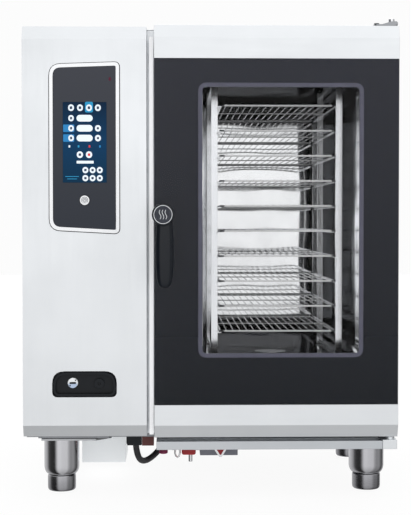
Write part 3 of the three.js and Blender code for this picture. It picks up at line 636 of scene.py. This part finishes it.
def screws(name, places, normal, body, radius=0.0045):
    """Low pan-head screws with a round recess, on a face looking along normal."""
    axis = {0: "X", 1: "Y", 2: "Z"}[max(range(3), key=lambda k: abs(normal[k]))]
    sign = sum(normal)
    bm = bmesh.new()
    for place in places:
        turn(bm, [
            (radius, 0), (radius, sign * 0.0008), (radius * 0.8, sign * 0.0019),
            (radius * 0.45, sign * 0.0023), (radius * 0.3, sign * 0.0012), (radius * 0.1, sign * 0.0012),
        ], place, axis, 16)
    finish_mesh(name, bm, "bright_steel", body)


def add_cabinet_screws():
    low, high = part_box("rear_panel")
    edge = 0.018
    back = high.y - 0.016
    xs = [low.x + edge + (high.x - low.x - 2 * edge) * i / 4 for i in range(5)]
    zs = [low.z + edge + (high.z - low.z - 2 * edge) * i / 5 for i in range(6)]
    places = [(x, back, z) for z in (zs[0], zs[-1]) for x in xs]
    places += [(x, back, z) for x in (xs[0], xs[-1]) for z in zs[1:-1]]
    screws("rear_screws", places, (0, 1, 0), "cabinet")


def add_hinge_screw():
    """The dark cap screw beside the upper hinge's wedge."""
    low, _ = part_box("upper_hinge")
    pin_low, pin_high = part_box("upper_hinge_pin")
    radius = 0.0074
    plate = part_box("door_frame")[1].z + 0.0043
    bm = bmesh.new()
    turn(bm, [
        (radius, 0), (radius, 0.0034), (radius - 0.0012, 0.0044), (0.0035, 0.0044), (0.0035, 0.002),
        (0.0003, 0.002),
    ], (low.x + 0.0085, (pin_low.y + pin_high.y) / 2, plate), "Z", 32)
    finish_mesh("hinge_screw", bm, "dark_steel", "cabinet")


# ---- Feet ---------------------------------------------------------------------------------------
STEP = 0.047  # height at which the lower foot runs into its sleeve
RAIL_THICK = 0.005


def add_feet():
    """Two-stage feet: a fixed sleeve under each rail and a turning lower foot."""
    rails = {"left": "foot_rail_left", "right": "foot_rail_right"}
    parts = {"left": bmesh.new(), "right": bmesh.new()}
    for place in FEET:
        low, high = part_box(f"foot_{place}")
        x, y = (low.x + high.x) / 2, (low.y + high.y) / 2
        r = (high.x - low.x) / 2
        bm = bmesh.new()
        turn(bm, [
            (r - 0.008, 0), (r - 0.004, 0.0008), (r - 0.0015, 0.003), (r - 0.0003, 0.007), (r, 0.012),
            (r, STEP - 0.007), (r - 0.0008, STEP - 0.004), (r - 0.003, STEP - 0.002),
            (r - 0.0035, STEP + 0.01), (r - 0.0035, high.z),
        ], (x, y, 0), "Z", 64)
        foot = finish_mesh(f"turned_foot_{place}", bm, "foot_steel", f"leveller_{place}")
        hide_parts(f"foot_{place}")
        side = place.split("_")[1]
        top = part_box(rails[side])[1].z
        sleeve = 0.048
        turn(parts[side], [
            (r + 0.0015, STEP + 0.003), (r + 0.003, STEP + 0.0008), (sleeve - 0.007, STEP + 0.0008),
            (sleeve - 0.004, STEP + 0.004), (sleeve - 0.0015, STEP + 0.010), (sleeve - 0.0003, STEP + 0.016),
            (sleeve, STEP + 0.022), (sleeve, top - RAIL_THICK), (r + 0.0015, top - RAIL_THICK),
        ], (x, y, 0), "Z", 64, closed=True)
    for side, bm in parts.items():
        low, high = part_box(rails[side])
        if side == "left":
            x0, x1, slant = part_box("foot_front_left")[0].x - 0.0125, high.x, 0.04
        else:
            x0, x1, slant = low.x, high.x - 0.001, 0
        outline = [(x0, low.y), (x1 - slant, low.y), (x1, low.y + 0.042), (x1, high.y), (x0, high.y)]
        loft(bm, [[(x, y, z) for x, y in outline] for z in (high.z - RAIL_THICK, high.z - 0.0003)])
        rail = finish_mesh(f"foot_rail_skin_{side}", bm, "turned_steel", "cabinet")
        underside = high.z - RAIL_THICK - 0.0001
        paint_faces(rail, "rail", lambda face: face.center.z > underside)
        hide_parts(rails[side])


# ---- Chamber ------------------------------------------------------------------------------------
def dress_chamber():
    chamber = soften("oven_chamber", "chamber", 0.0005)
    # painted shade and reflections: the side walls, roof and floor get the blotched and darkened copies of
    # the chamber sheet
    paint_faces(chamber, "chamber_side_painted_reflections", lambda face: abs(face.normal.x) > 0.5)
    paint_faces(chamber, "chamber_roof_painted_shade", lambda face: face.normal.z < -0.5)
    paint_faces(chamber, "chamber_floor_painted_shade", lambda face: face.normal.z > 0.5)
    soften("air_baffle", "chamber_side_painted_reflections", 0.0005)
    for node in ("rack_left", "rack_right", "drain_box"):
        soften(node, "bright_steel", 0.0006)
    for node in ("fan_wheel", "drain_strainer", "latch_cam"):
        soften(node, "bright_steel", 0.0004)
    for node in ("fan_motor", "heating_element"):
        soften(node, "dark_steel", 0.0006)
    soften("door_gasket", "rubber", 0.0012)


def add_shelf(node):
    """A gastronorm grid: a round-cornered rim rod, two cross rods, and lengthwise wires laid over them."""
    low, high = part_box(node)
    rim, wire, corner = 0.0025, 0.0013, 0.014
    bm = bmesh.new()
    z = low.z + rim
    outline = rounded_outline(
        (low.x + high.x) / 2, (low.y + high.y) / 2,
        high.x - low.x - 2 * rim, high.y - low.y - 2 * rim, 0.012, 4,
    )
    path_tube(bm, [(x, y, z) for x, y in outline], rim, 8, closed=True)
    for share in (0.035, 0.5):
        y = low.y + (high.y - low.y) * share
        rod(bm, (low.x + rim, y, z), (high.x - rim, y, z), 0.0017, 8)
    count = 16
    for i in range(count):
        x = low.x + (high.x - low.x) * (i + 1) / (count + 1)
        rod(bm, (x, low.y + rim, high.z - wire), (x, high.y - rim, high.z - wire), wire, 6)
    shelf = finish_mesh(node.replace("wire_", "grid_"), bm, "wire", node.replace("wire_", ""), 50)
    # painted shade: the rods behind the front rod, and the rim's ends near the sides, get the darker wire
    # material for the dark they mirror and the shade at the corners
    front, left, right = low.y + 0.004, low.x + corner, high.x - corner
    paint_faces(shelf, "wire_painted_shade", lambda face: (
        face.center.y > front and abs(face.normal.y) < 0.7 or face.center.x < left or face.center.x > right
    ))
    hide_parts(node)


# ---- Door ---------------------------------------------------------------------------------------
def dress_door():
    soften("door_frame", "stainless", 0.0012, 3, SHEET_ANGLE)
    soften("door_outer_glass", "outer_pane", 0.0008)
    soften("door_inner_glass", "inner_pane", 0.0008)
    soften("door_glass_print", "print", 0.0002)
    facet(soften("window_rim", "rim", 0.0005))


def add_handle():
    """The turn handle: a round boss, and a grip with a narrow flat front that hangs from it."""
    low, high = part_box("door_handle")
    emblem_low, emblem_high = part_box("handle_emblem")
    x = (emblem_low.x + emblem_high.x) / 2
    z = (emblem_low.z + emblem_high.z) / 2
    front, knob = low.y, (high.x - low.x) / 2
    grip_x = x + 0.004  # the grip hangs a little towards the door's middle
    face = DOOR_FACE
    bm = bmesh.new()
    turn(bm, [
        (knob - 0.0022, front + 0.0005), (knob - 0.0008, front + 0.0012), (knob, front + 0.0035),
        (knob, front + 0.020), (knob - 0.002, front + 0.026), (knob - 0.008, front + 0.034),
        (0.018, front + 0.041), (0.017, face - 0.004), (0.0195, face - 0.001), (0.0195, face + 0.0004),
    ], (x, 0, z), "Y", 64)
    boss = finish_mesh("handle_boss", bm, "handle", "handle", 40)
    bm = bmesh.new()
    # (share of the way down, half width, half width of the flat front, front depth, back depth)
    sections = (
        (0.00, 0.0200, 0.0110, 0.0100, 0.0330), (0.12, 0.0215, 0.0120, 0.0070, 0.0320),
        (0.30, 0.0240, 0.0135, 0.0045, 0.0300), (0.55, 0.0245, 0.0135, 0.0045, 0.0290),
        (0.78, 0.0225, 0.0130, 0.0055, 0.0290), (0.90, 0.0200, 0.0115, 0.0070, 0.0280),
        (0.965, 0.0160, 0.0090, 0.0095, 0.0265), (1.00, 0.0090, 0.0050, 0.0140, 0.0230),
    )
    top, bottom = z - 0.008, low.z + 0.0005
    rings = []
    for share, half, flat, near, far in sections:
        level = top + (bottom - top) * share
        y0, y1 = front + near, front + far
        side = y0 + (y1 - y0) * 0.38
        rear = y0 + (y1 - y0) * 0.75
        rings.append([
            (grip_x - flat, y0, level), (grip_x, y0 - 0.0006, level), (grip_x + flat, y0, level),
            (grip_x + half * 0.88, y0 + (side - y0) * 0.55, level), (grip_x + half, side, level),
            (grip_x + half * 0.94, rear, level), (grip_x + half * 0.55, y1, level),
            (grip_x, y1 + 0.0005, level), (grip_x - half * 0.55, y1, level),
            (grip_x - half * 0.94, rear, level), (grip_x - half, side, level),
            (grip_x - half * 0.88, y0 + (side - y0) * 0.55, level),
        ])
    loft(bm, rings)
    grip = finish_mesh("handle_grip", bm, "handle", "handle", 60)
    smooth = grip.modifiers.new("smooth", "SUBSURF")
    smooth.levels = smooth.render_levels = 2
    crease_front(grip, 12, (0, 2))
    for piece in (boss, grip):
        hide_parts("door_handle")
    add_emblem(x, z, emblem_low.y)


def crease_front(piece, ring_size, columns):
    """Keeps the long edges of the grip's flat front crisp."""
    crease = piece.data.attributes.new("crease_edge", "FLOAT", "EDGE")
    for edge in piece.data.edges:
        a, b = edge.vertices
        if a % ring_size == b % ring_size and a % ring_size in columns:
            crease.data[edge.index].value = 0.75


def add_emblem(x, z, front):
    """A plain dark disc in a pale ring, with three rising steam lines as a generic mark."""
    bm = bmesh.new()
    turn(bm, [
        (0.0224, front + 0.0017), (0.0224, front + 0.0007), (0.0220, front + 0.0004), (0.001, front + 0.0004),
    ], (x, 0, z), "Y", 64)
    disc = finish_mesh("emblem_disc", bm, "emblem", "handle")
    bm = bmesh.new()
    turn(bm, [
        (0.0245, front + 0.0017), (0.0245, front + 0.0004), (0.0241, front), (0.0232, front),
        (0.0228, front + 0.0004), (0.0228, front + 0.0017),
    ], (x, 0, z), "Y", 72, closed=True)
    for offset in (-0.0075, 0, 0.0075):
        points = []
        for i in range(13):
            t = i / 12
            sway = 0.0022 * math.sin(2 * math.pi * t)
            points.append((x + offset + sway, front + 0.0012, z - 0.012 + 0.024 * t))
        path_tube(bm, points, 0.0011, 8)
    mark = finish_mesh("emblem_mark", bm, "mark", "handle")
    for piece in (disc, mark):
        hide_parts("handle_emblem")


# ---- Controls -----------------------------------------------------------------------------------
def dress_controls():
    facet(soften("control_bezel", "chrome", 0.0009, 3))
    soften("control_glass", "control_glass", 0.0003)
    soften("display_screen", "screen", 0.0002)
    soften("push_button", "chrome", 0.0005)
    soften("port_panel", "port", 0.0008, 3)
    soften("usb_socket", "pale", 0.0005)
    soften("probe_socket", "port", 0.0005)


def add_display_icons():
    """A generic page: round keys, pills and small marks, and no lettering."""
    low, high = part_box("display_screen")
    width, height = high.x - low.x, high.z - low.z
    y0, y1 = low.y - 0.0005, low.y + 0.0002
    layer = 0.0004

    def spot(u, v):
        return low.x + width * u, high.z - height * v

    def put(bm, u, v, w, h, radius, lift=0.0):
        x, z = spot(u, v)
        flat_piece(bm, rounded_outline(x, z, w, h, radius, 5), y0 - lift, y1)

    white, blue, cyan, red, dark = (bmesh.new() for _ in range(5))
    columns = (0.19, 0.395, 0.6, 0.805)
    put(cyan, columns[2], 0.062, 0.021, 0.028, 0.004)
    for u in columns:
        put(white, u, 0.07, 0.0155, 0.0175, 0.0077, layer)
        put(dark, u, 0.07, 0.0064, 0.0070, 0.0012, 2 * layer)
    for row, v in enumerate((0.2, 0.325, 0.447)):
        if row:
            put(blue, 0.135, v, 0.029, 0.0195, 0.002)
            put(white, 0.805, v, 0.0155, 0.017, 0.0076, layer)
            put(dark, 0.805, v, 0.0062, 0.0062, 0.003, 2 * layer)
        put(white, 0.19, v, 0.0145, 0.0165, 0.0071, layer)
        put(dark, 0.19, v, 0.0052, 0.0066, 0.0012, 2 * layer)
        put(white, 0.5, v, 0.0425, 0.0175, 0.0085, layer)
    for u, bm in ((0.15, white), (0.36, cyan), (0.61, red), (0.85, blue)):
        put(bm, u, 0.55, 0.0045, 0.006, 0.001, layer)
    for u, inner in ((0.39, dark), (0.6, red)):
        put(white, u, 0.653, 0.0165, 0.0178, 0.0082, layer)
        put(inner, u, 0.653, 0.0062, 0.0064, 0.0008, 2 * layer)
    put(white, 0.51, 0.746, 0.045, 0.0072, 0.001, layer)
    for v in (0.845, 0.945):
        for u in (0.515, 0.68, 0.845):
            put(white, u, v, 0.0155, 0.0165, 0.0077, layer)
            put(dark, u, v, 0.006, 0.006, 0.0012, 2 * layer)
    for i, length in enumerate((0.036, 0.026)):
        put(cyan, 0.21, 0.925 + 0.03 * i, length, 0.0016, 0.0007, layer)
    sets = (("white", white), ("blue", blue), ("cyan", cyan), ("red", red), ("dark", dark))
    for name, bm in sets:
        finish_mesh(f"display_marks_{name}", bm, f"icon_{name}", "cabinet")


def add_button_rings():
    """Dark turned grooves in the push button's face."""
    low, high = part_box("push_button")
    centre = ((low.x + high.x) / 2, 0, (low.z + high.z) / 2)
    bm = bmesh.new()
    grooves = ((0.0088, 0.0008, 0.0013), (0.0052, 0.0007, 0.0012), (0.0025, 0.0006, 0.0012))
    for radius, width, front in grooves:
        turn(bm, [
            (radius - width, low.y + front), (radius - width, low.y + front + 0.002),
            (radius + width, low.y + front + 0.002), (radius + width, low.y + front),
        ], centre, "Y", 40, closed=True)
    finish_mesh("button_rings", bm, "dark_steel", "button")


def add_panel_gap_shade_sheet():
    """A dark sheet inside the column, behind the edge gaps of the control panel and the ports: painted shade,
    put where the gaps show only the dark inside the column.
    """
    low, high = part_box("control_bezel")
    port_low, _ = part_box("port_panel")
    margin, depth = 0.015, high.y + 0.045
    bm = bmesh.new()
    box_in(
        bm, Vector((low.x - margin, depth, port_low.z - margin)),
        Vector((high.x + margin, depth + 0.002, high.z + margin)),
    )
    finish_mesh("panel_gap_shade_sheet", bm, "dark_steel", "cabinet")


def add_panel_mark():
    """The small red lamp at the top right of the control glass."""
    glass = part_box("control_glass")[0].y
    bm = bmesh.new()
    lamp_x, lamp_z = -0.268, 1.112
    outline = rounded_outline(lamp_x, lamp_z, 0.006, 0.009, 0.0022, 4)
    flat_piece(bm, outline, glass - 0.0003, glass + 0.0005)
    finish_mesh("panel_mark", bm, "lamp_red", "cabinet")


def add_socket_details():
    """The USB socket's white and blue halves round a dark slot, with two small screws."""
    low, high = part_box("usb_socket")
    x, z, r = (low.x + high.x) / 2, (low.z + high.z) / 2, (high.x - low.x) / 2
    y = low.y
    for name, material, start in (("usb_shell", "pale", 0.0), ("usb_tongue", "usb_blue", math.pi)):
        points = []
        for i in range(25):
            a = start + math.pi * i / 24
            points.append((x + (r - 0.0015) * math.cos(a), z + (r - 0.0015) * math.sin(a)))
        sign = 1 if start == 0 else -1
        points = [(px, pz + sign * 0.0016) for px, pz in points]
        bm = bmesh.new()
        flat_piece(bm, points, y - 0.0012, y + 0.0003, 0.0005)
        finish_mesh(name, bm, material, "cabinet")
    bm = bmesh.new()
    flat_piece(bm, rounded_outline(x, z, 0.0165, 0.0052, 0.0008, 3), y - 0.0015, y + 0.0004)
    for shift in (0.0072, -0.0072):
        screw = rounded_outline(x + shift, z + shift, 0.0036, 0.0036, 0.0017, 4)
        flat_piece(bm, screw, y - 0.0016, y)
    finish_mesh("usb_slot", bm, "port", "cabinet")


# ---- Services under the cabinet -----------------------------------------------------------------
HOSE_ROUTE = (
    (-204, 117, 125.8), (-202.5, 122.6, 110.3), (-200.5, 129.9, 97.4), (-197.9, 138.9, 86.9),
    (-194.8, 149.2, 78.6), (-191, 160.8, 72.3), (-186.7, 173.5, 67.9), (-181.7, 187, 65.2),
    (-176.1, 201.2, 64.1), (-170, 215.9, 64.5), (-163.5, 230.7, 66.3), (-156.6, 245.5, 69.4),
    (-149.5, 260, 73.8), (-142.3, 273.9, 79.5), (-135.2, 287, 86.4), (-128.4, 299, 94.4),
    (-122.1, 309.5, 103.7), (-116.6, 318.3, 114.2), (-112, 325, 126),
)


def add_hose():
    """The black hose that loops down from the connector block and back up to the valves."""
    points = [Vector((x * MM, DOOR_FACE + y * MM, z * MM)) for x, y, z in HOSE_ROUTE]
    curve = bpy.data.curves.new("drain_hose_loop", "CURVE")
    curve.dimensions = "3D"
    curve.bevel_depth = 0.0085
    curve.bevel_resolution = 6
    curve.use_fill_caps = True
    spline = curve.splines.new("POLY")
    spline.points.add(len(points) - 1)
    for target, point in zip(spline.points, points):
        target.co = (*point, 1)
    curve.materials.append(MATERIALS["rubber"])
    hose = bpy.data.objects.new("drain_hose_loop", curve)
    bpy.context.scene.collection.objects.link(hose)
    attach(hose, "cabinet")
    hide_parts("drain_hose")


def add_valves():
    """Two solenoid valves on a manifold, with their pipe stubs, a cable, and a lever in front of its box."""
    low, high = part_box("water_valves")
    reach = 0.211  # from the lever's right end back to the zero of the offsets below
    origin = Vector((high.x - reach, low.y, low.z))

    def at(x, y, z):
        return origin + Vector((x, y, z)) * MM

    red, plum, steel, dark = (bmesh.new() for _ in range(4))
    box_in(steel, at(33, 16, 82), at(71, 139, 99), 0.003)
    box_in(steel, at(57, 20, 36), at(71, 50, 98), 0.004)
    box_in(red, at(66, 20, 36), at(129, 52, 51), 0.004)
    box_in(red, at(84, 12, 22), at(124, 60, 58), 0.006, 3)
    cap = [(0.009, 0), (0.0125, 0.002), (0.0125, 0.012), (0.010, 0.016), (0.010, 0.054)]
    turn(plum, cap, at(32, 30, 24), "Z", 28)
    stub = [(0.0045, 0), (0.0058, 0.001), (0.0058, 0.022), (0.0075, 0.024), (0.0075, 0.034)]
    turn(steel, stub, at(109, 30, 1), "Z", 20)
    loop = ((66, 40), (65, 26), (67, 17), (72, 13), (77, 17), (79, 26), (78, 40))
    path_tube(steel, [at(x, 30, z) for x, z in loop], 0.0026)
    cable = ((44, 24, 42), (52, 22, 38), (60, 22, 37), (68, 22, 39), (76, 20, 44))
    path_tube(dark, [at(*place) for place in cable], 0.0022)
    for ring in (88, 118):
        turn(dark, [(0.0185, 0), (0.0195, 0.0012), (0.0185, 0.0024)], at(ring, 36, 40), "X", 24)
    rod(steel, at(119, 6, 41), at(190, 6, 41), 0.0035, 12)
    for bm, grow, front in ((steel, 0, 2), (red, 7, 0)):
        tip = grow / 4
        corners = ((173 + grow, 44), (213 - grow, 44), (197 - tip, 18 + grow), (190 + tip, 18 + grow))
        outline = [(at(x, 0, 0).x, at(0, 0, z).z) for x, z in corners]
        flat_piece(bm, outline, at(0, front, 0).y, at(0, 5, 0).y)
    parts = (("valve_coils", red, "valve_red"), ("valve_cap", plum, "valve_plum"),
             ("valve_bodies", steel, "bright_steel"), ("valve_cable", dark, "rubber"))
    for name, bm, material in parts:
        piece = finish_mesh(name, bm, material, "cabinet")
        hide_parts("water_valves")


def dress_services():
    # painted light: the white plastic light box glows faintly to lift it out of the shade under the cabinet
    soften("light_box", "white_painted_glow", 0.001)
    soften("valve_box", "grey_paint", 0.001)
    soften("connector_block", "port", 0.0012)
    soften("drain_elbow", "silicone", 0.002, 3)
    add_valves()


def main():
    add_camera()
    add_hose()
    add_world()
    add_lights()
    add_floor()
    dress_cabinet()
    add_cabinet_screws()
    add_hinge_screw()
    add_feet()
    dress_chamber()
    for node in SHELVES:
        add_shelf(node)
    dress_door()
    add_handle()
    dress_controls()
    add_display_icons()
    add_panel_gap_shade_sheet()
    add_panel_mark()
    add_button_rings()
    add_socket_details()
    dress_services()
    bpy.context.scene.view_settings.view_transform = "Standard"


MATERIALS = make_materials()
main()
bpy.context.view_layer.update()
